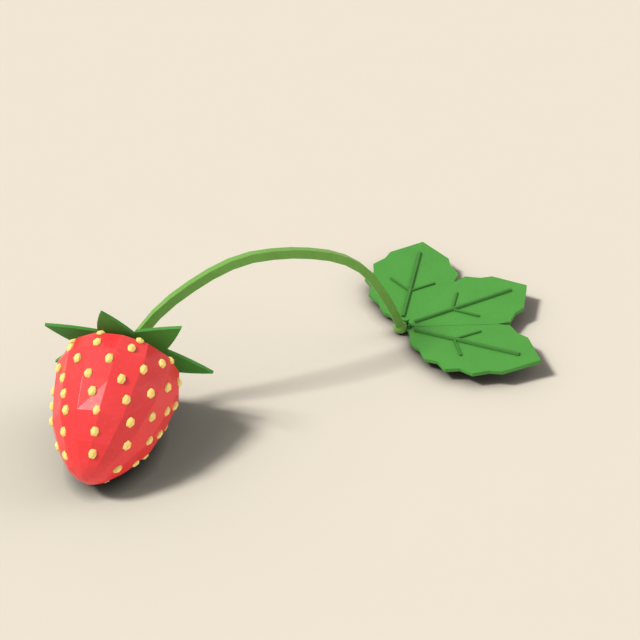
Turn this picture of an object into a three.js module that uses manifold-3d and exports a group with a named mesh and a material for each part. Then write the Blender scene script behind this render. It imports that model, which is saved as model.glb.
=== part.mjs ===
// A picked strawberry, lying on a surface: a faceted berry set with seeds, its star of sepals,
// the arched stem, and the leaf of three leaflets that the stem ends in.
// Millimetres, +Z up. The origin is the middle of the flat spot that the berry rests on.
import * as THREE from 'three';
import { mergeVertices } from 'three/addons/utils/BufferGeometryUtils.js';
import Module from 'manifold-3d';

const wasm = await Module();
wasm.setup();

// Driving dimensions
const GAP = 0.3; // air between two pieces that touch
const FLOOR = 0; // height of the surface that the strawberry lies on

const BERRY_LENGTH = 35.9; // calyx end to tip
const BERRY_SHOULDER = new THREE.Vector3(3.4, 16.6, 18.8); // middle of the calyx end
const BERRY_HEADING = 79.1; // the calyx end faces this way, degrees from +X
const BERRY_LEAN = 70; // degrees that the calyx end leans over from upright
const BERRY_SPIN = -92.2; // turn about its own axis
const BERRY_SIDES = 14; // facets round the berry
// Each ring of corners: [distance below the calyx end, radius]
const BERRY_RINGS = [
  [0.9, 6.0], [1.8, 10.2], [4.0, 14.2], [8.6, 15.2], [16.5, 13.9],
  [23.8, 11.9], [29.8, 8.4], [34.0, 4.6], [35.4, 2.2],
];
const BERRY_DISH = 1.4; // how far below the calyx end the middle of the top lies
const BERRY_UNEVEN = 0.22; // how far the corners stand in or out
const BERRY_EVEN_RINGS = 2; // rings at the calyx end where they don't
const BERRY_PATTERN = 11; // start of the random sequence that sets how far
const BERRY_RIDGE = 0.55; // extra height of the one corner that stands out most
const BERRY_RIDGE_RING = 5;
const BERRY_RIDGE_SIDE = 11;

const SEED_COUNTS = [9, 11, 11, 11, 10, 9, 7, 5]; // seeds in each ring
const SEED_FIRST = 3.8; // first ring below the calyx end
const SEED_SECOND = 7.1; // second ring, and the rest follow at one pitch
const SEED_PITCH = 4.13;
const SEED_WIDTH = 2.2;
const SEED_LENGTH = 2.8;
const SEED_DEPTH = 1.6;
const SEED_SINK = 0.2; // middle of each seed below the skin

const CALYX_RISE = 0.5; // underside of the calyx above the berry's calyx end
const SEPAL_THICKNESS = 0.8;
const SEPAL_ROOT = 1.6; // half width in the middle of the star
const SEPAL_HALF_WIDTH = 4.6;
const SEPAL_WIDEST = 9.7; // distance of the widest place from the middle
const SEPAL_BEND = [16.2, 2.9]; // point that the curve from there to the tip bends by: [out, aside]
const SEPAL_TURN = 10; // angle of the first sepal from the first seed
// Length from the middle, and droop towards the berry's tip in degrees
const SEPALS = [
  [21.6, 4.7], [19.6, 3.5], [19.2, 1.5], [21.4, 4.3], [21.5, 8.2], [20.6, 9.7], [22.9, 5.5],
];
const CALYX_HUB_RADIUS = 3.0;
const CALYX_HUB_HEIGHT = 1.1;

const ARCH_HEADING = 27; // the stem's arch runs this way over the ground, degrees from +X
const STEM_RADIUS = 1.6; // middle to corner
const STEM_SIDES = 4;
const STEM_SEGMENTS = 18; // straight pieces that the arch is bent from
const STEM_TURN = 10; // degrees that the stem's near side faces up from level, at the calyx
const STEM_TWIST = 26; // degrees that it turns down again by the leaf
// The stem's route, seen from the side of its arch: [along, aside, height]
const STEM_ROUTE = [
  [0.6, 1.4, 19.1], [2.9, 1.5, 21.6], [5.3, 1.1, 24.0], [9.5, 0.4, 28.6], [15.4, -0.1, 32.2],
  [22, -0.6, 35.4], [31, -0.9, 37.5], [41, -1.1, 36.6], [50, -1.1, 34.1], [58.5, -1.0, 30.2],
  [65.9, -0.7, 23.8], [71, -0.4, 16.0], [75, -0.1, 8.7], [77.8, 0, 1.95],
];
const KNUCKLE_RADIUS = 1.95; // the joint at the stem's end, where the leaflets start

// Each leaflet's heading in degrees from +X, and its length from the knuckle's middle
const LEAFLETS = {
  leaflet_back: [77.4, 41.1], leaflet_middle: [23.1, 40.4], leaflet_front: [-29.9, 41.2],
};
const LEAF_PITCH = 5.2; // degrees that each leaflet rises away from the knuckle
const LEAF_THICKNESS = 1.1;
// Half of a leaflet's toothed edge, from its base to its last tooth: [out from the knuckle, aside]
const LEAF_EDGE = [
  [3.1, 1.2], [3.9, 2.0], [5.6, 5.5], [7.9, 7.1], [9.5, 7.7], [12.9, 11.4], [16.6, 11.2],
  [19.8, 13.8], [23.4, 11.8], [27.3, 12.7], [30.8, 9.8], [34.1, 8.8],
];
const MIDRIB_START = 4.5;
const MIDRIB_END = 35.2;
const MIDRIB_RADIUS = 0.65;
const SIDE_VEIN_START = 16.3;
const SIDE_VEIN_LENGTH = 8.2;
const SIDE_VEIN_ANGLE = 52.3;
const SIDE_VEIN_RADIUS = 0.42;
const VEIN_RISE = 0.15; // middle of each vein above the blade's face
const STALK_LENGTH = 5; // short stalk from the knuckle into each leaflet's base
const STALK_RADIUS = 0.45;
const NEIGHBOUR = 60; // leaflets whose headings are nearer than this touch each other

// Materials
const surface = (color, roughness) =>
  new THREE.MeshStandardMaterial({ color, roughness, metalness: 0, flatShading: true });
const RED = surface(0xe8444a, 0.45);
const SEPAL_GREEN = surface(0x4c9448, 0.6);
const STEM_GREEN = surface(0x86b45c, 0.55);
const LEAF_GREEN = surface(0x5caa4d, 0.6);

const radians = THREE.MathUtils.degToRad;

// A closed three.js geometry as a manifold solid
function solid(geometry) {
  let plain = geometry.clone();
  for (const name of ['normal', 'uv']) plain.deleteAttribute(name);
  plain = mergeVertices(plain, 1e-4);
  return new wasm.Manifold(new wasm.Mesh({
    numProp: 3,
    vertProperties: new Float32Array(plain.attributes.position.array),
    triVerts: new Uint32Array(plain.index.array),
  }));
}

// A manifold solid as a three.js mesh
function meshOf(name, body, material) {
  const found = body.getMesh();
  const geometry = new THREE.BufferGeometry();
  geometry.setAttribute('position', new THREE.BufferAttribute(found.vertProperties, 3));
  geometry.setIndex(new THREE.BufferAttribute(found.triVerts, 1));
  const mesh = new THREE.Mesh(geometry, material);
  mesh.name = name;
  return mesh;
}

// The part of a solid above the floor
function aboveFloor(body) {
  return body.trimByPlane([0, 0, 1], FLOOR);
}

// A lasting random sequence, so the berry's facets come out the same each time
function randomFrom(start) {
  const [multiplier, increment, range] = [1664525, 1013904223, 2 ** 32];
  let state = start;
  return () => {
    state = (state * multiplier + increment) % range;
    return state / range;
  };
}

// From the berry's own frame, with its axis on Z and its calyx end at 0, to its place
function berryPlace() {
  const turn = new THREE.Matrix4().makeRotationZ(radians(BERRY_SPIN));
  const lean = new THREE.Matrix4().makeRotationY(radians(BERRY_LEAN));
  const heading = new THREE.Matrix4().makeRotationZ(radians(BERRY_HEADING));
  const place = new THREE.Matrix4().makeTranslation(BERRY_SHOULDER);
  return place.multiply(heading).multiply(lean).multiply(turn);
}

// The berry's radius at a distance below its calyx end
function berryRadius(depth) {
  const stations = [...BERRY_RINGS, [BERRY_LENGTH, 0]];
  const next = stations.findIndex(([below]) => below > depth);
  const [d0, r0] = stations[next - 1];
  const [d1, r1] = stations[next];
  return THREE.MathUtils.mapLinear(depth, d0, d1, r0, r1);
}

// The flesh: rings of corners joined by triangles, closed by a point at each end
function fleshGeometry() {
  const random = randomFrom(BERRY_PATTERN);
  const points = [0, 0, -BERRY_DISH];
  BERRY_RINGS.forEach(([depth, radius], ring) => {
    for (let side = 0; side < BERRY_SIDES; side += 1) {
      const angle = (side / BERRY_SIDES) * 2 * Math.PI;
      const uneven = ring < BERRY_EVEN_RINGS ? 0 : BERRY_UNEVEN * (2 * random() - 1);
      const ridged = ring === BERRY_RIDGE_RING && side === BERRY_RIDGE_SIDE;
      const r = radius + uneven + (ridged ? BERRY_RIDGE : 0);
      points.push(r * Math.cos(angle), r * Math.sin(angle), -depth);
    }
  });
  points.push(0, 0, -BERRY_LENGTH);
  const last = points.length / 3 - 1;
  const corner = (ring, side) => 1 + ring * BERRY_SIDES + (side % BERRY_SIDES);
  const faces = [];
  for (let side = 0; side < BERRY_SIDES; side += 1) {
    faces.push(0, corner(0, side), corner(0, side + 1));
    for (let ring = 0; ring < BERRY_RINGS.length - 1; ring += 1) {
      const [a, b] = [corner(ring, side), corner(ring, side + 1)];
      const [c, d] = [corner(ring + 1, side), corner(ring + 1, side + 1)];
      faces.push(a, c, b, b, c, d);
    }
    const end = BERRY_RINGS.length - 1;
    faces.push(last, corner(end, side + 1), corner(end, side));
  }
  const geometry = new THREE.BufferGeometry();
  geometry.setAttribute('position', new THREE.Float32BufferAttribute(points, 3));
  geometry.setIndex(faces);
  return geometry;
}

// One seed: a bead sunk in the flesh, with its long way towards the tip
function seedGeometry(depth, angle) {
  const bead = new THREE.IcosahedronGeometry(0.5, 0);
  bead.scale(SEED_DEPTH, SEED_WIDTH, SEED_LENGTH);
  bead.translate(-SEED_SINK, 0, 0);
  const ends = [depth - SEED_LENGTH / 2, depth + SEED_LENGTH / 2];
  const slope = (berryRadius(ends[1]) - berryRadius(ends[0])) / SEED_LENGTH;
  bead.rotateY(-Math.atan(slope));
  bead.translate(berryRadius(depth), 0, -depth);
  bead.rotateZ(angle);
  return bead;
}

// The berry: flesh and seeds grown as one, pressed flat where it lies
function berry() {
  const parts = [solid(fleshGeometry())];
  SEED_COUNTS.forEach((count, ring) => {
    const depth = ring === 0 ? SEED_FIRST : SEED_SECOND + (ring - 1) * SEED_PITCH;
    for (let seed = 0; seed < count; seed += 1) {
      const halfStep = ring % 2 === 0 ? 0.5 : 0;
      parts.push(solid(seedGeometry(depth, ((seed + halfStep) / count) * 2 * Math.PI)));
    }
  });
  const whole = wasm.Manifold.union(parts).transform(berryPlace().toArray());
  return meshOf('berry', aboveFloor(whole), RED);
}

// One sepal: a flat pointed blade that starts at the middle, lying along +X
function sepalGeometry(length, droop) {
  const shape = new THREE.Shape();
  const [bend, aside] = SEPAL_BEND;
  shape.moveTo(0, -SEPAL_ROOT);
  shape.lineTo(SEPAL_WIDEST, -SEPAL_HALF_WIDTH);
  shape.quadraticCurveTo(bend, -aside, length, 0);
  shape.quadraticCurveTo(bend, aside, SEPAL_WIDEST, SEPAL_HALF_WIDTH);
  shape.lineTo(0, SEPAL_ROOT);
  const blade = new THREE.ExtrudeGeometry(shape, {
    depth: SEPAL_THICKNESS, bevelEnabled: false, curveSegments: 4,
  });
  blade.rotateY(radians(droop));
  return blade;
}

// The calyx: seven sepals grown together round a small hub, on the berry's calyx end
function calyx() {
  const hub = new THREE.CylinderGeometry(CALYX_HUB_RADIUS, CALYX_HUB_RADIUS, CALYX_HUB_HEIGHT, 14);
  hub.rotateX(Math.PI / 2);
  hub.translate(0, 0, CALYX_HUB_HEIGHT / 2);
  const parts = [solid(hub)];
  SEPALS.forEach(([length, droop], index) => {
    const sepal = sepalGeometry(length, droop);
    sepal.rotateZ(radians(SEPAL_TURN) + (index / SEPALS.length) * 2 * Math.PI);
    parts.push(solid(sepal));
  });
  const raised = berryPlace().multiply(new THREE.Matrix4().makeTranslation(0, 0, CALYX_RISE));
  return meshOf('calyx', wasm.Manifold.union(parts).transform(raised.toArray()), SEPAL_GREEN);
}

// From the arch's own frame to the ground plan
function archPlace() {
  const heading = new THREE.Matrix4().makeRotationZ(radians(ARCH_HEADING));
  return new THREE.Matrix4()
    .makeTranslation(BERRY_SHOULDER.x, BERRY_SHOULDER.y, 0)
    .multiply(heading);
}

// The middle of the knuckle, which the leaflets spread from
function knuckleCentre() {
  return new THREE.Vector3(...STEM_ROUTE.at(-1)).applyMatrix4(archPlace());
}

// The stalk: rings of corners along the arch, joined by triangles, with a flat end at each side
function stalkGeometry() {
  const route = new THREE.CatmullRomCurve3(STEM_ROUTE.map((p) => new THREE.Vector3(...p)));
  const upright = new THREE.Vector3(0, 0, 1);
  const points = [];
  for (let ring = 0; ring <= STEM_SEGMENTS; ring += 1) {
    const share = ring / STEM_SEGMENTS;
    const middle = route.getPointAt(share);
    const along = route.getTangentAt(share);
    const near = new THREE.Vector3().crossVectors(along, upright).normalize();
    const over = new THREE.Vector3().crossVectors(near, along);
    const turn = radians(STEM_TURN - STEM_TWIST * share ** 3);
    for (let side = 0; side < STEM_SIDES; side += 1) {
      const angle = turn + ((side + 0.5) / STEM_SIDES) * 2 * Math.PI;
      const corner = middle.clone()
        .addScaledVector(near, STEM_RADIUS * Math.cos(angle))
        .addScaledVector(over, STEM_RADIUS * Math.sin(angle));
      points.push(...corner);
    }
  }
  const corner = (ring, side) => ring * STEM_SIDES + (side % STEM_SIDES);
  const faces = [];
  for (let side = 0; side < STEM_SIDES; side += 1) {
    for (let ring = 0; ring < STEM_SEGMENTS; ring += 1) {
      const [a, b] = [corner(ring, side), corner(ring, side + 1)];
      const [c, d] = [corner(ring + 1, side), corner(ring + 1, side + 1)];
      faces.push(a, c, b, b, c, d);
    }
  }
  for (let side = 1; side < STEM_SIDES - 1; side += 1) {
    faces.push(corner(0, 0), corner(0, side), corner(0, side + 1));
    const end = STEM_SEGMENTS;
    faces.push(corner(end, 0), corner(end, side + 1), corner(end, side));
  }
  const geometry = new THREE.BufferGeometry();
  geometry.setAttribute('position', new THREE.Float32BufferAttribute(points, 3));
  geometry.setIndex(faces);
  return geometry;
}

// The stem: the stalk, cut to sit on the calyx hub, with the knuckle at its end
function stem() {
  const knuckle = new THREE.IcosahedronGeometry(KNUCKLE_RADIUS, 1);
  knuckle.translate(...STEM_ROUTE.at(-1));
  const whole = solid(stalkGeometry()).add(solid(knuckle)).transform(archPlace().toArray());
  const axis = new THREE.Vector3(0, 0, 1).transformDirection(berryPlace());
  const hubTop = axis.dot(BERRY_SHOULDER) + CALYX_RISE + CALYX_HUB_HEIGHT + GAP;
  return meshOf('stem', aboveFloor(whole.trimByPlane(axis.toArray(), hubTop)), STEM_GREEN);
}

// A straight six-sided rib along +X, from its start, at a height in the leaflet's frame
function ribGeometry(length, radius, height) {
  const rib = new THREE.CylinderGeometry(radius, radius, length, 6);
  rib.rotateZ(-Math.PI / 2);
  rib.translate(length / 2, 0, height);
  return rib;
}

// One leaflet along +X: its toothed blade, raised veins and stalk, cut clear of its neighbours
function leaflet(name, heading, length) {
  const shape = new THREE.Shape();
  LEAF_EDGE.forEach(([out, aside], index) => {
    if (index === 0) shape.moveTo(out, aside);
    else shape.lineTo(out, aside);
  });
  shape.lineTo(length, 0);
  [...LEAF_EDGE].reverse().forEach(([out, aside]) => shape.lineTo(out, -aside));
  const blade = new THREE.ExtrudeGeometry(shape, { depth: LEAF_THICKNESS, bevelEnabled: false });
  blade.translate(0, 0, -LEAF_THICKNESS);

  const midrib = ribGeometry(MIDRIB_END - MIDRIB_START, MIDRIB_RADIUS, VEIN_RISE);
  midrib.translate(MIDRIB_START, 0, 0);
  const veins = [midrib];
  for (const way of [-1, 1]) {
    const vein = ribGeometry(SIDE_VEIN_LENGTH, SIDE_VEIN_RADIUS, VEIN_RISE);
    vein.rotateZ(way * radians(SIDE_VEIN_ANGLE));
    vein.translate(SIDE_VEIN_START, 0, 0);
    veins.push(vein);
  }
  const stalk = ribGeometry(STALK_LENGTH, STALK_RADIUS, -LEAF_THICKNESS / 2);
  stalk.translate(KNUCKLE_RADIUS + GAP, 0, 0);

  const parts = [blade, ...veins, stalk].map((geometry) => {
    geometry.rotateY(-radians(LEAF_PITCH));
    return solid(geometry);
  });
  let body = wasm.Manifold.union(parts);
  for (const [other] of Object.values(LEAFLETS)) {
    const apart = other - heading;
    if (apart === 0 || Math.abs(apart) > NEIGHBOUR) continue;
    const between = radians(apart / 2);
    const way = Math.sign(apart);
    const inward = [way * Math.sin(between), -way * Math.cos(between), 0];
    body = body.trimByPlane(inward, GAP / 2);
  }
  const mesh = meshOf(name, body, LEAF_GREEN);
  mesh.rotation.z = radians(heading);
  mesh.position.copy(knuckleCentre());
  return mesh;
}

const strawberry = new THREE.Group();
strawberry.add(berry(), calyx(), stem());
for (const [name, lie] of Object.entries(LEAFLETS)) strawberry.add(leaflet(name, ...lie));

export default strawberry;
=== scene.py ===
"""Looks for a picked strawberry: flesh, seeds, calyx, stem and a leaf of three leaflets, in metres."""
import math

import bmesh
import bpy
from mathutils import Matrix, Vector


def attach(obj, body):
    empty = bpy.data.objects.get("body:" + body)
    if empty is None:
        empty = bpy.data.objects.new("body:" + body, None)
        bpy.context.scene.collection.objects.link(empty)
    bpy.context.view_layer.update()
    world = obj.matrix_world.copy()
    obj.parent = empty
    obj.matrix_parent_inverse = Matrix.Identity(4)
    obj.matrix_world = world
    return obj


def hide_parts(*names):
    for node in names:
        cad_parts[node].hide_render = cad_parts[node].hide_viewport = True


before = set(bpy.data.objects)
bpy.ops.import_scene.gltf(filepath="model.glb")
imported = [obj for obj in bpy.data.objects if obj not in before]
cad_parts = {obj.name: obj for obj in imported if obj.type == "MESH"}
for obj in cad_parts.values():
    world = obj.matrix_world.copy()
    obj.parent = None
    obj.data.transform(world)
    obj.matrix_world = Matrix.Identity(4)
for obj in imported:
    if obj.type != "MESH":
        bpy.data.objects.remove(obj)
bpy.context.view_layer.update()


# Berry flesh: the swollen fruit, a red skin with a satin shine over soft juicy flesh.
# It grew in one piece, in broad flat facets that round over softly where they meet,
# and it is pressed flat in the small spot that it lies on.
BERRY_LENGTH = 0.0359
BERRY_SHOULDER = Vector((0.0034, 0.0166, 0.0188))
BERRY_HEADING = math.radians(79.1)
BERRY_LEAN = math.radians(70)
BERRY_SPIN = math.radians(-92.2)
BERRY_SIDES = 14
# Each ring of corners: distance below the calyx end, and radius
BERRY_RINGS = [
    (0.0009, 0.0060), (0.0018, 0.0102), (0.0040, 0.0142), (0.0086, 0.0152), (0.0165, 0.0139),
    (0.0238, 0.0119), (0.0298, 0.0084), (0.0340, 0.0046), (0.0354, 0.0022),
]
BERRY_DISH = 0.0014
BERRY_UNEVEN = 0.00022
# The first rings, which are even because the calyx covers them
EVEN_RINGS = 2
BERRY_RIDGE = 0.00055
# The ring and side of the one corner that stands out by the ridge
RIDGE_CORNER = (5, 11)
FACET_SEED = 11
FACET_ROUNDING = 0.00012
FACET_TURN = math.radians(2)
# The numbers that carry the random sequence on
RANDOM_FACTOR = 1664525
RANDOM_STEP = 1013904223
RANDOM_RANGE = 2 ** 32
# How near a plane a corner counts as lying on it, and how near each other corners are joined
CUT_REACH = 1e-7
JOIN_REACH = 2e-6
# How strongly the broad faces lead the shading, where 50 is neutral
BROAD_FACES = 100

SKIN_RED = (0.83, 0.040, 0.043, 1)
SKIN_DEEP_RED = (0.76, 0.027, 0.032, 1)
SKIN_BLUSH = (0.87, 0.085, 0.075, 1)
SKIN_CLOUDS = 0.009
SKIN_SPECKS = 0.0007
SKIN_PORES = 0.0005
SKIN_SWELLS = 0.0022
SKIN_RELIEF = 0.00003
SKIN_ROUGHNESS = 0.28


class Wire:
    """One output of a shader node. Arithmetic on it adds Math nodes to its own tree."""

    def __init__(self, socket):
        self.socket = socket

    def math(self, operation, first, second):
        values = {0: first, 1: second}
        return add_node(self.socket.id_data, "ShaderNodeMath", {"operation": operation}, values)

    def __add__(self, other):
        return self.math("ADD", self, other)

    def __sub__(self, other):
        return self.math("SUBTRACT", self, other)

    def __mul__(self, other):
        return self.math("MULTIPLY", self, other)

    def __pow__(self, other):
        return self.math("POWER", self, other)

    def __radd__(self, other):
        return self.math("ADD", other, self)

    def __rsub__(self, other):
        return self.math("SUBTRACT", other, self)

    def __rmul__(self, other):
        return self.math("MULTIPLY", other, self)

    def __rpow__(self, other):
        return self.math("POWER", other, self)


def add_node(tree, kind, settings, values, output=0):
    """Makes one node: its settings first, then what its sockets hold or are fed by."""
    node = tree.nodes.new(kind)
    for name, value in settings.items():
        setattr(node, name, value)
    for name, value in values.items():
        if isinstance(value, Wire):
            tree.links.new(value.socket, node.inputs[name])
        else:
            node.inputs[name].default_value = value
    return Wire(node.outputs[output]) if node.outputs else None


class Finish:
    """A material in the making. Its textures are measured in metres on the piece itself."""

    def __init__(self, name):
        self.material = bpy.data.materials.new(name)
        self.material.use_nodes = True
        self.tree = self.material.node_tree
        self.tree.nodes.clear()
        self.place = self.node("ShaderNodeTexCoord", {}, {}, "Object")

    def node(self, kind, settings, values, output=0):
        return add_node(self.tree, kind, settings, values, output)

    def noise(self, size, detail=2.0):
        """Cloudy variation from 0 to 1, in patches about as wide as size."""
        values = {"Vector": self.place, "Scale": 1 / size, "Detail": detail}
        return self.node("ShaderNodeTexNoise", {}, values, "Fac")

    def spread(self, value, low, high):
        """Stretches the part of a value between low and high over 0 to 1."""
        values = {"Value": value, "From Min": low, "From Max": high}
        return self.node("ShaderNodeMapRange", {"clamp": True}, values)

    def vectors(self, operation, first, second, output):
        """One step of vector arithmetic."""
        return self.node("ShaderNodeVectorMath", {"operation": operation}, {0: first, 1: second}, output)

    def open_air(self, reach, samples):
        """How open a place is, from 0 where other surfaces close it in to 1 where none is within reach."""
        return self.node("ShaderNodeAmbientOcclusion", {"samples": samples}, {"Distance": reach}, "AO")

    def blend(self, factor, first, second):
        """A colour between two others."""
        return self.node("ShaderNodeMix", {"data_type": "RGBA"}, {0: factor, 6: first, 7: second}, 2)

    def relief(self, height, depth):
        """A normal for fine relief: height from 0 to 1, standing depth metres high."""
        return self.node("ShaderNodeBump", {}, {"Height": height, "Distance": depth, "Strength": 1.0})

    def done(self, **sockets):
        """Closes the material with one Principled shader."""
        values = {name.replace("_", " "): value for name, value in sockets.items()}
        shader = self.node("ShaderNodeBsdfPrincipled", {}, values)
        self.node("ShaderNodeOutputMaterial", {}, {"Surface": shader})
        return self.material


def skin_finish():
    """Red skin: cloudy deeper and paler reds, fine pores, and a shine that varies a little."""
    finish = Finish("strawberry skin")
    cloud = finish.spread(finish.noise(SKIN_CLOUDS), 0.35, 0.65)
    speckle = finish.spread(finish.noise(SKIN_SPECKS, detail=3.0), 0.56, 0.70)
    red = finish.blend(cloud * 0.5, SKIN_RED, SKIN_DEEP_RED)
    red = finish.blend(speckle * 0.35, red, SKIN_BLUSH)
    pores = finish.noise(SKIN_PORES)
    swells = finish.noise(SKIN_SWELLS, detail=1.0)
    return finish.done(
        Base_Color=red,
        Roughness=SKIN_ROUGHNESS + 0.06 * cloud,
        Normal=finish.relief(pores * 0.5 + swells * 0.5, SKIN_RELIEF),
    )


def random_from(seed):
    """An endless random sequence from 0 to 1, the same each time for one seed."""
    state = seed
    while True:
        state = (state * RANDOM_FACTOR + RANDOM_STEP) % RANDOM_RANGE
        yield state / RANDOM_RANGE


def berry_place():
    """From the berry's own frame, with its axis on Z and its calyx end at 0, to its place."""
    heading = Matrix.Rotation(BERRY_HEADING, 4, "Z")
    lean = Matrix.Rotation(BERRY_LEAN, 4, "Y")
    spin = Matrix.Rotation(BERRY_SPIN, 4, "Z")
    return Matrix.Translation(BERRY_SHOULDER) @ heading @ lean @ spin


def cut_flat(shape, point, outward):
    """Takes off what lies beyond a plane of a closed shape, and closes the cut."""
    everything = shape.verts[:] + shape.edges[:] + shape.faces[:]
    bmesh.ops.bisect_plane(
        shape, geom=everything, dist=CUT_REACH, plane_co=point, plane_no=outward, clear_outer=True
    )
    rim = [edge for edge in shape.edges if edge.is_boundary]
    bmesh.ops.contextual_create(shape, geom=rim)


def rest_on_floor(shape):
    """Cuts a closed shape flat at the floor."""
    cut_flat(shape, Vector((0, 0, 0)), Vector((0, 0, -1)))


def round_edges(shape, width, least_turn, clamp=True):
    """Rounds each edge whose faces turn by more than an angle, and joins corners that meet."""
    shape.normal_update()
    edges = [edge for edge in shape.edges if edge.calc_face_angle(0) > least_turn]
    bmesh.ops.bevel(
        shape, geom=edges, offset=width, segments=2, profile=0.5, affect="EDGES", clamp_overlap=clamp
    )
    bmesh.ops.remove_doubles(shape, verts=shape.verts[:], dist=JOIN_REACH)


pieces = []


def piece_from(shape, name, material):
    """Turns a shape into a finished piece that rides on the strawberry."""
    bmesh.ops.recalc_face_normals(shape, faces=shape.faces[:])
    mesh = bpy.data.meshes.new(name)
    shape.to_mesh(mesh)
    shape.free()
    for face in mesh.polygons:
        face.use_smooth = True
    piece = bpy.data.objects.new(name, mesh)
    bpy.context.scene.collection.objects.link(piece)
    piece.data.materials.append(material)
    weighted = piece.modifiers.new("flat facets with soft edges", "WEIGHTED_NORMAL")
    weighted.weight = BROAD_FACES
    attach(piece, "root")
    pieces.append(piece)
    return piece


def flesh_shape():
    """Rings of corners joined by triangles, closed by a point at each end."""
    shape = bmesh.new()
    random = random_from(FACET_SEED)
    rings = []
    for ring, (depth, radius) in enumerate(BERRY_RINGS):
        corners = []
        for side in range(BERRY_SIDES):
            angle = side / BERRY_SIDES * 2 * math.pi
            uneven = 0 if ring < EVEN_RINGS else BERRY_UNEVEN * (2 * next(random) - 1)
            ridge = BERRY_RIDGE if (ring, side) == RIDGE_CORNER else 0
            reach = radius + uneven + ridge
            corners.append(shape.verts.new((reach * math.cos(angle), reach * math.sin(angle), -depth)))
        rings.append(corners)
    top = shape.verts.new((0, 0, -BERRY_DISH))
    out_of_shade = shape.verts.new((0, 0, -BERRY_LENGTH))
    for side in range(BERRY_SIDES):
        after = (side + 1) % BERRY_SIDES
        shape.faces.new((top, rings[0][side], rings[0][after]))
        for upper, lower in zip(rings, rings[1:]):
            shape.faces.new((upper[side], lower[side], upper[after]))
            shape.faces.new((upper[after], lower[side], lower[after]))
        shape.faces.new((out_of_shade, rings[-1][after], rings[-1][side]))
    shape.transform(berry_place())
    return shape


flesh = flesh_shape()
round_edges(flesh, FACET_ROUNDING, FACET_TURN, clamp=False)
rest_on_floor(flesh)
berry_flesh = piece_from(flesh, "berry_flesh", skin_finish())
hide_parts("berry")


# Seeds: small hard beads, pale yellow, that grow in the skin in rings round the berry.
# Each is a separate faceted bead, drawn out towards the berry's tip and sunk rather over halfway.
SEED_COUNTS = [9, 11, 11, 11, 10, 9, 7, 5]
SEED_FIRST = 0.0038
SEED_SECOND = 0.0071
SEED_PITCH = 0.00413
SEED_SIZE = Vector((0.0016, 0.0022, 0.0028))
SEED_SINK = 0.0002
SEED_ROUNDING = 0.00009
SEED_TURN = math.radians(5)
GOLDEN_RATIO = (1 + math.sqrt(5)) / 2

SEED_YELLOW = (1.0, 0.77, 0.22, 1)
SEED_AMBER = (1.0, 0.57, 0.15, 1)
SEED_CLOUDS = 0.0016
SEED_GRAIN = 0.00025
SEED_RELIEF = 0.00002
SEED_ROUGHNESS = 0.42


def seed_finish():
    """Dry seed coat: pale yellow going to amber, with a fine grain."""
    finish = Finish("strawberry seed")
    cloud = finish.spread(finish.noise(SEED_CLOUDS), 0.35, 0.7)
    grain = finish.noise(SEED_GRAIN, detail=3.0)
    return finish.done(
        Base_Color=finish.blend(cloud * 0.6, SEED_YELLOW, SEED_AMBER),
        Roughness=SEED_ROUGHNESS + 0.16 * grain,
        Normal=finish.relief(grain, SEED_RELIEF),
    )


def berry_radius(depth):
    """The berry's radius at a distance below its calyx end."""
    stations = BERRY_RINGS + [(BERRY_LENGTH, 0)]
    for (depth_above, radius_above), (depth_below, radius_below) in zip(stations, stations[1:]):
        if depth < depth_below:
            share = (depth - depth_above) / (depth_below - depth_above)
            return radius_above + share * (radius_below - radius_above)


def bead_shape(depth, angle):
    """One bead: an icosahedron drawn out towards the tip, sunk a little in the skin."""
    reach = SEED_SIZE.z / 2
    slope = (berry_radius(depth + reach) - berry_radius(depth - reach)) / SEED_SIZE.z
    lie = Matrix.Rotation(-math.atan(slope), 4, "Y")
    stand = Matrix.Rotation(angle, 4, "Z") @ Matrix.Translation((berry_radius(depth), 0, -depth))
    place = stand @ lie @ Matrix.Translation((-SEED_SINK, 0, 0))
    corners = []
    for first in (-1, 1):
        for second in (-GOLDEN_RATIO, GOLDEN_RATIO):
            corners += [Vector((0, first, second)), Vector((first, second, 0)), Vector((second, 0, first))]
    half = SEED_SIZE / 2 / math.hypot(1, GOLDEN_RATIO)
    points = [place @ Vector(a * b for a, b in zip(corner, half)) for corner in corners]
    shape = bmesh.new()
    verts = [shape.verts.new(berry_place() @ point) for point in points]
    bmesh.ops.convex_hull(shape, input=verts)
    return shape


def add_shape(whole, part):
    """Moves a part into a larger shape, where it stays separate."""
    loose = bpy.data.meshes.new("loose part")
    part.to_mesh(loose)
    part.free()
    whole.from_mesh(loose)
    bpy.data.meshes.remove(loose)


seeds = bmesh.new()
for ring, count in enumerate(SEED_COUNTS):
    depth = SEED_FIRST if ring == 0 else SEED_SECOND + (ring - 1) * SEED_PITCH
    half_step = 0.5 if ring % 2 == 0 else 0
    for number in range(count):
        bead = bead_shape(depth, (number + half_step) / count * 2 * math.pi)
        if min(vert.co.z for vert in bead.verts) < 0:
            rest_on_floor(bead)
        round_edges(bead, SEED_ROUNDING, SEED_TURN)
        add_shape(seeds, bead)
berry_seeds = piece_from(seeds, "berry_seeds", seed_finish())
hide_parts("berry")


# Calyx: seven pointed green sepals grown together round a small hub at the berry's top.
# They are thin stiff plates, matt, with edges just rounded, spread flat like a star.
SEPAL_ROUNDING = 0.00010
SEPAL_TURN = math.radians(25)
CAD_JOIN_REACH = 1e-6
CAD_FLAT_TURN = math.radians(0.5)

SEPAL_GREEN = (0.070, 0.275, 0.042, 1)
SEPAL_DARK = (0.040, 0.18, 0.024, 1)
# The deeper green of the painted shade near the berry
SEPAL_SHADE_GREEN = (0.045, 0.19, 0.022, 1)
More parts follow.
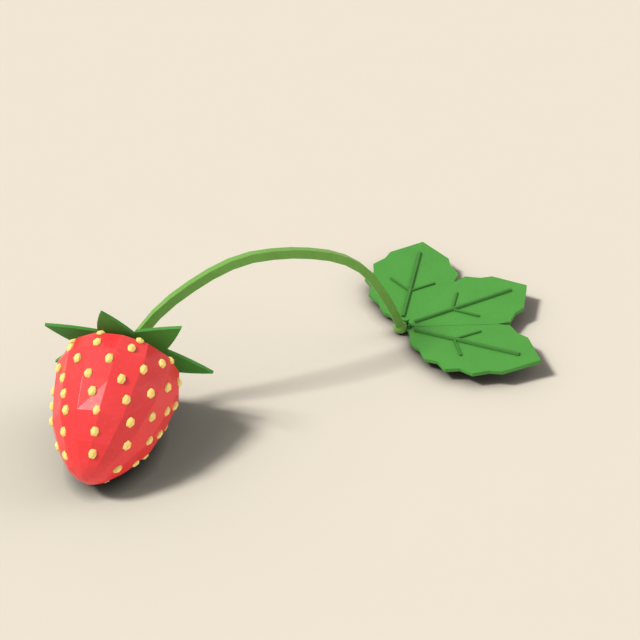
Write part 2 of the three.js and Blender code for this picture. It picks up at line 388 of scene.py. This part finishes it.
# Distances from the berry's shoulder where the painted shade starts to fade, and where it is gone
SEPAL_SHADE_FADES = 0.008
SEPAL_SHADE_ENDS = 0.018
SEPAL_CLOUDS = 0.005
SEPAL_STREAKS = 24.0
SEPAL_ROUGHNESS = 0.5
# Painted shade in the creases where pieces meet: its deep green, how far it reaches, and its samples
CREASE_SHADE_GREEN = (0.012, 0.105, 0.004, 1)
CREASE_SHADE_REACH = 0.0012
CREASE_SHADE_SAMPLES = 8
LEAFY_CELLS = 0.0004
LEAFY_RELIEF = 0.00003
LEAFY_SHINE = 0.25


def cad_shape(node):
    """A copy of a CAD node's closed surface, with its corners joined and its flat sides whole."""
    shape = bmesh.new()
    shape.from_mesh(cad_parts[node].data)
    bmesh.ops.remove_doubles(shape, verts=shape.verts[:], dist=CAD_JOIN_REACH)
    bmesh.ops.dissolve_limit(
        shape, angle_limit=CAD_FLAT_TURN, verts=shape.verts[:], edges=shape.edges[:]
    )
    return shape


def leafy(finish, clouds, colour, dark, roughness, lines):
    """Closes a finish as matt green leaf skin: cloudy greens, a fine grain of cells, faint lines.

    It is darkened with painted shade in the creases where pieces meet.
    """
    cloud = finish.spread(finish.noise(clouds), 0.35, 0.65)
    cells = finish.noise(LEAFY_CELLS, detail=3.0)
    green = finish.blend(cloud * 0.25 + cells * 0.12 + lines * 0.2, colour, dark)
    # Painted shade: the green deepens where nearby surfaces close a place in
    openness = finish.open_air(CREASE_SHADE_REACH, CREASE_SHADE_SAMPLES)
    return finish.done(
        Base_Color=finish.blend(openness, CREASE_SHADE_GREEN, green),
        Roughness=roughness + 0.12 * cells,
        Specular_IOR_Level=LEAFY_SHINE,
        Normal=finish.relief(cells * 0.6 - lines * 0.4, LEAFY_RELIEF),
    )


def sepal_finish():
    """Sepal skin: painted shade that deepens the green towards the berry, with faint streaks running
    outwards.
    """
    finish = Finish("sepal")
    way = finish.vectors("SUBTRACT", finish.place, BERRY_SHOULDER, "Vector")
    outward = finish.vectors("NORMALIZE", way, Vector(), "Vector")
    distance = finish.vectors("LENGTH", way, Vector(), "Value")
    streaks = finish.node("ShaderNodeTexNoise", {}, {"Vector": outward, "Scale": SEPAL_STREAKS}, "Fac")
    lines = finish.spread(streaks, 0.5, 0.65)
    # Painted shade: the green is deeper near the berry, where the sepals close in on it
    out_of_shade = finish.spread(distance, SEPAL_SHADE_FADES, SEPAL_SHADE_ENDS)
    green = finish.blend(out_of_shade, SEPAL_SHADE_GREEN, SEPAL_GREEN)
    return leafy(finish, SEPAL_CLOUDS, green, SEPAL_DARK, SEPAL_ROUGHNESS, lines)


calyx_star = cad_shape("calyx")
round_edges(calyx_star, SEPAL_ROUNDING, SEPAL_TURN)
calyx = piece_from(calyx_star, "calyx_star", sepal_finish())
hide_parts("calyx")


# Stem: a green stalk with four flat sides that arches from the calyx to the leaf in straight bends.
# It ends in the small round joint that the leaflets grow from, resting on the surface.
STEM_ROUNDING = 0.00015
STEM_TURN = math.radians(4)

STEM_GREEN = (0.168, 0.378, 0.070, 1)
STEM_DARK = (0.118, 0.285, 0.048, 1)
STEM_CLOUDS = 0.006
STEM_ROUGHNESS = 0.45
# How finely the streaks vary along X, Y and Z, and how far their pattern is then turned
STEM_STREAKS = (120, 2600, 120)
STEM_STREAK_TURN = (0, 0, math.radians(-27))


def stem_finish():
    """Stem skin, with faint fine streaks that cross it."""
    finish = Finish("stem")
    drawn_out = {"Vector": finish.place, "Rotation": STEM_STREAK_TURN, "Scale": STEM_STREAKS}
    pattern = finish.node("ShaderNodeMapping", {}, drawn_out)
    streaks = finish.node("ShaderNodeTexNoise", {}, {"Vector": pattern, "Scale": 1.0}, "Fac")
    lines = finish.spread(streaks, 0.5, 0.65)
    return leafy(finish, STEM_CLOUDS, STEM_GREEN, STEM_DARK, STEM_ROUGHNESS, lines)


stem_arch = cad_shape("stem")
round_edges(stem_arch, STEM_ROUNDING, STEM_TURN)
stem = piece_from(stem_arch, "stem_arch", stem_finish())
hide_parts("stem")


# Leaf: three toothed leaflets, each a stiff flat blade that rises a little from the stem's joint.
# They meet edge to edge near the joint. A short stalk runs from the joint into each base.
LEAF_JOINT = Vector((0.07272, 0.05192, 0.00195))
LEAF_PITCH = math.radians(5.2)
LEAF_THICKNESS = 0.0011
# Each leaflet's heading, and its length from the joint's middle
LEAFLETS = {
    "leaflet_back": (math.radians(77.4), 0.0411),
    "leaflet_middle": (math.radians(23.1), 0.0404),
    "leaflet_front": (math.radians(-29.9), 0.0412),
}
# Leaflets less than this far apart in heading are neighbours, and are cut between them
NEIGHBOUR_TURN = math.radians(60)
# Half of a leaflet's toothed edge, from its base to its last tooth: out from the joint, and aside
LEAF_EDGE = [
    (0.0031, 0.0012), (0.0039, 0.0020), (0.0056, 0.0055), (0.0079, 0.0071), (0.0095, 0.0077),
    (0.0129, 0.0114), (0.0166, 0.0112), (0.0198, 0.0138), (0.0234, 0.0118), (0.0273, 0.0127),
    (0.0308, 0.0098), (0.0341, 0.0088),
]
STALK_START = 0.00225
STALK_LENGTH = 0.0050
STALK_RADIUS = 0.00045
ROD_SIDES = 6
LEAF_ROUNDING = 0.00014
LEAF_TURN = math.radians(20)

LEAF_GREEN = (0.069, 0.284, 0.043, 1)
LEAF_DARK = (0.050, 0.22, 0.031, 1)
LEAF_CLOUDS = 0.008
LEAF_NET = 0.0015
LEAF_NET_LINE = 0.09
LEAF_ROUGHNESS = 0.5


def leaflet_place(heading):
    """From a leaflet's own frame, with its midrib on X, to its place at the stem's joint."""
    turn = Matrix.Rotation(heading, 4, "Z")
    rise = Matrix.Rotation(-LEAF_PITCH, 4, "Y")
    return Matrix.Translation(LEAF_JOINT) @ turn @ rise


def add_rod(shape, start, direction, length, radius):
    """Adds a straight rod that starts at a point and lies level in the leaflet's frame."""
    aim = Matrix.Rotation(direction, 4, "Z") @ Matrix.Rotation(math.radians(90), 4, "Y")
    middle = Matrix.Translation(start) @ aim @ Matrix.Translation((0, 0, length / 2))
    radii = {"radius1": radius, "radius2": radius}
    bmesh.ops.create_cone(
        shape, cap_ends=True, segments=ROD_SIDES, depth=length, matrix=middle, **radii
    )


def blade_shape(heading, length):
    """The toothed plate, trimmed where it meets its neighbours."""
    shape = bmesh.new()
    outline = LEAF_EDGE + [(length, 0)] + [(out, -aside) for out, aside in reversed(LEAF_EDGE)]
    top = [shape.verts.new((out, aside, 0)) for out, aside in outline]
    bottom = [shape.verts.new((out, aside, -LEAF_THICKNESS)) for out, aside in outline]
    shape.faces.new(top)
    shape.faces.new(bottom[::-1])
    for here, after in zip(range(len(top)), [*range(1, len(top)), 0]):
        shape.faces.new((top[here], bottom[here], bottom[after], top[after]))
    shape.transform(leaflet_place(heading))
    for other, _ in LEAFLETS.values():
        apart = other - heading
        if 0 < abs(apart) < NEIGHBOUR_TURN:
            between = heading + apart / 2
            across = Vector((-math.sin(between), math.cos(between), 0)) * math.copysign(1, apart)
            cut_flat(shape, LEAF_JOINT, across)
    return shape


def leaf_finish():
    """Leaf skin, with a faint net of the finest veins."""
    finish = Finish("leaf")
    values = {"Vector": finish.place, "Scale": 1 / LEAF_NET}
    edge = finish.node("ShaderNodeTexVoronoi", {"feature": "DISTANCE_TO_EDGE"}, values, "Distance")
    net = finish.spread(edge, LEAF_NET_LINE, 0.0)
    return leafy(finish, LEAF_CLOUDS, LEAF_GREEN, LEAF_DARK, LEAF_ROUGHNESS, net)


leaf_green = leaf_finish()
for name, (heading, length) in LEAFLETS.items():
    blade = blade_shape(heading, length)
    round_edges(blade, LEAF_ROUNDING, LEAF_TURN)
    stalk = bmesh.new()
    add_rod(stalk, Vector((STALK_START, 0, -LEAF_THICKNESS / 2)), 0, STALK_LENGTH, STALK_RADIUS)
    stalk.transform(leaflet_place(heading))
    add_shape(blade, stalk)
    leaflet = piece_from(blade, name.replace("leaflet", "blade"), leaf_green)
    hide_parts(name)


# Leaf veins: a midrib and two side veins stand out on each leaflet as darker six-sided rods,
# half sunk into the blade, with blunt ends.
MIDRIB_START = 0.0045
MIDRIB_END = 0.0352
MIDRIB_RADIUS = 0.00065
SIDE_VEIN_START = 0.0163
SIDE_VEIN_LENGTH = 0.0082
SIDE_VEIN_ANGLE = math.radians(52.3)
SIDE_VEIN_RADIUS = 0.00042
VEIN_RISE = 0.00015
VEIN_ROUNDING = 0.00008
VEIN_TURN = math.radians(20)

VEIN_GREEN = (0.047, 0.196, 0.030, 1)
VEIN_DARK = (0.030, 0.145, 0.020, 1)
VEIN_CLOUDS = 0.004
VEIN_MARKS = 0.0009
VEIN_ROUGHNESS = 0.45


def vein_finish():
    """Vein skin: darker than the leaf, with small faint marks."""
    finish = Finish("leaf vein")
    marks = finish.spread(finish.noise(VEIN_MARKS), 0.5, 0.65)
    return leafy(finish, VEIN_CLOUDS, VEIN_GREEN, VEIN_DARK, VEIN_ROUGHNESS, marks)


vein_green = vein_finish()
for name, (heading, _) in LEAFLETS.items():
    veins = bmesh.new()
    add_rod(veins, Vector((MIDRIB_START, 0, VEIN_RISE)), 0, MIDRIB_END - MIDRIB_START, MIDRIB_RADIUS)
    for way in (-1, 1):
        start = Vector((SIDE_VEIN_START, 0, VEIN_RISE))
        add_rod(veins, start, way * SIDE_VEIN_ANGLE, SIDE_VEIN_LENGTH, SIDE_VEIN_RADIUS)
    veins.transform(leaflet_place(heading))
    round_edges(veins, VEIN_ROUNDING, VEIN_TURN)
    vein = piece_from(veins, name.replace("leaflet", "veins"), vein_green)
    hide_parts(name)


# Floor: a plain pale sheet, matt, under the strawberry. It isn't part of the object.
# Its colour is darkened with painted shade where the strawberry closes it in, and it glows very faintly.
FLOOR_SIZE = 8.0
FLOOR_CREAM = (0.888, 0.807, 0.665, 1)
FLOOR_SHADE = (0.882, 0.800, 0.657, 1)
FLOOR_MOTTLE = 0.02
# Painted shade on the floor: the black it sinks towards, and how far and how strongly it reaches
FLOOR_SHADOW_BLACK = (0.0, 0.0, 0.0, 1)
FLOOR_GLOW = 0.05
WIDE_SHADE_REACH = 0.06
WIDE_SHADE_DEPTH = 0.55
CLOSE_SHADE_REACH = 0.0045
SHADE_SAMPLES = 16

floor_mesh = bpy.data.meshes.new("floor")
half = FLOOR_SIZE / 2
floor_corners = [(-half, -half, 0), (half, -half, 0), (half, half, 0), (-half, half, 0)]
floor_mesh.from_pydata(floor_corners, [], [(0, 1, 2, 3)])
floor = bpy.data.objects.new("floor", floor_mesh)
bpy.context.scene.collection.objects.link(floor)


def floor_finish():
    """Matt cream paper with a faint mottle, and painted shade where the strawberry closes it in."""
    finish = Finish("pale floor")
    cream = finish.blend(finish.noise(FLOOR_MOTTLE, detail=4.0), FLOOR_CREAM, FLOOR_SHADE)
    # Painted shade: the cream sinks towards black where the strawberry closes the floor in, over a wide
    # and a close reach
    wide = finish.open_air(WIDE_SHADE_REACH, SHADE_SAMPLES)
    close = finish.open_air(CLOSE_SHADE_REACH, SHADE_SAMPLES)
    shaded = finish.blend(wide ** WIDE_SHADE_DEPTH * close, FLOOR_SHADOW_BLACK, cream)
    return finish.done(
        Base_Color=shaded,
        Roughness=1.0,
        Specular_IOR_Level=0.0,
        Emission_Color=shaded,
        Emission_Strength=FLOOR_GLOW,
    )


floor_mesh.materials.append(floor_finish())


# Light: far lamps. The strawberry's own key shines from the left, with a glint, a glow from above and
# a bounce from below that reach it alone. The floor has a key and a soft lamp of its own, set for
# the shadow. Only the weaker fill, from the right, lights both.
KEY_FROM = Vector((-0.80, -0.16, 1.0))
KEY_STRENGTH = 3.40
KEY_BREADTH = math.radians(17)
FLOOR_KEY_FROM = Vector((-0.80, -0.145, 0.94))
FLOOR_KEY_STRENGTH = 2.70
FLOOR_KEY_BREADTH = math.radians(11)
FLOOR_SOFT_STRENGTH = 0.75
FLOOR_SOFT_BREADTH = math.radians(36)
GLINT_STRENGTH = 1.2
GLINT_BREADTH = math.radians(6)
FILL_FROM = Vector((0.97, 0.26, 0.55))
FILL_STRENGTH = 0.72
FILL_BREADTH = math.radians(40)
GLOW_FROM = Vector((0.0, -0.1, 1.0))
GLOW_STRENGTH = 1.0
GLOW_BREADTH = math.radians(140)
BOUNCE_FROM = Vector((0.52, -0.70, -0.47))
BOUNCE_STRENGTH = 1.25
BOUNCE_BREADTH = math.radians(100)
ROOM_STRENGTH = 1.0


def add_lamp(name, source, strength, breadth):
    """A far lamp that shines from a direction, breadth wide in angle."""
    lamp = bpy.data.lights.new(name, "SUN")
    lamp.energy = strength
    lamp.angle = breadth
    holder = bpy.data.objects.new(name, lamp)
    holder.rotation_mode = "QUATERNION"
    holder.rotation_quaternion = source.to_track_quat("Z", "Y")
    bpy.context.scene.collection.objects.link(holder)
    return holder


key = add_lamp("key", KEY_FROM, KEY_STRENGTH, KEY_BREADTH)
key.visible_glossy = False
glint = add_lamp("glint", KEY_FROM, GLINT_STRENGTH, GLINT_BREADTH)
glint.visible_diffuse = False
fill = add_lamp("fill", FILL_FROM, FILL_STRENGTH, FILL_BREADTH)
fill.visible_glossy = False
floor_key = add_lamp("floor key", FLOOR_KEY_FROM, FLOOR_KEY_STRENGTH, FLOOR_KEY_BREADTH)
floor_soft = add_lamp("floor soft", FLOOR_KEY_FROM, FLOOR_SOFT_STRENGTH, FLOOR_SOFT_BREADTH)
glow = add_lamp("glow", GLOW_FROM, GLOW_STRENGTH, GLOW_BREADTH)
bounce = add_lamp("bounce", BOUNCE_FROM, BOUNCE_STRENGTH, BOUNCE_BREADTH)
bounce.visible_glossy = False

strawberry = bpy.data.collections.new("strawberry")
for piece in pieces:
    strawberry.objects.link(piece)
    piece.visible_diffuse = False
surface = bpy.data.collections.new("surface")
surface.objects.link(floor)
for lamp in (floor_key, floor_soft):
    lamp.light_linking.receiver_collection = surface
for lamp in (key, glint, glow, bounce):
    lamp.light_linking.receiver_collection = strawberry
bounce.light_linking.blocker_collection = strawberry

world = bpy.data.worlds.new("pale room")
world.use_nodes = True
background = world.node_tree.nodes["Background"]
background.inputs["Color"].default_value = FLOOR_CREAM
background.inputs["Strength"].default_value = ROOM_STRENGTH
world.cycles_visibility.diffuse = False
bpy.context.scene.world = world
bpy.context.scene.view_settings.view_transform = "Standard"


# Camera: it looks along +Y and down at the strawberry, as the camera of the photograph does.
# Its place and direction were fitted to the photograph, for a chosen view angle of 30 degrees.
CAMERA_AT = Vector((0.05042, -0.22022, 0.19136))
CAMERA_LOOKS = Vector((0, 0.8241, -0.5664))
CAMERA_ANGLE = math.radians(30)
NEAREST_SEEN = 0.01
FARTHEST_SEEN = 20

camera = bpy.data.objects.new("camera", bpy.data.cameras.new("camera"))
camera.data.angle = CAMERA_ANGLE
camera.data.clip_start = NEAREST_SEEN
camera.data.clip_end = FARTHEST_SEEN
camera.location = CAMERA_AT
camera.rotation_mode = "QUATERNION"
camera.rotation_quaternion = CAMERA_LOOKS.to_track_quat("-Z", "Y")
bpy.context.scene.collection.objects.link(camera)
bpy.context.scene.camera = camera
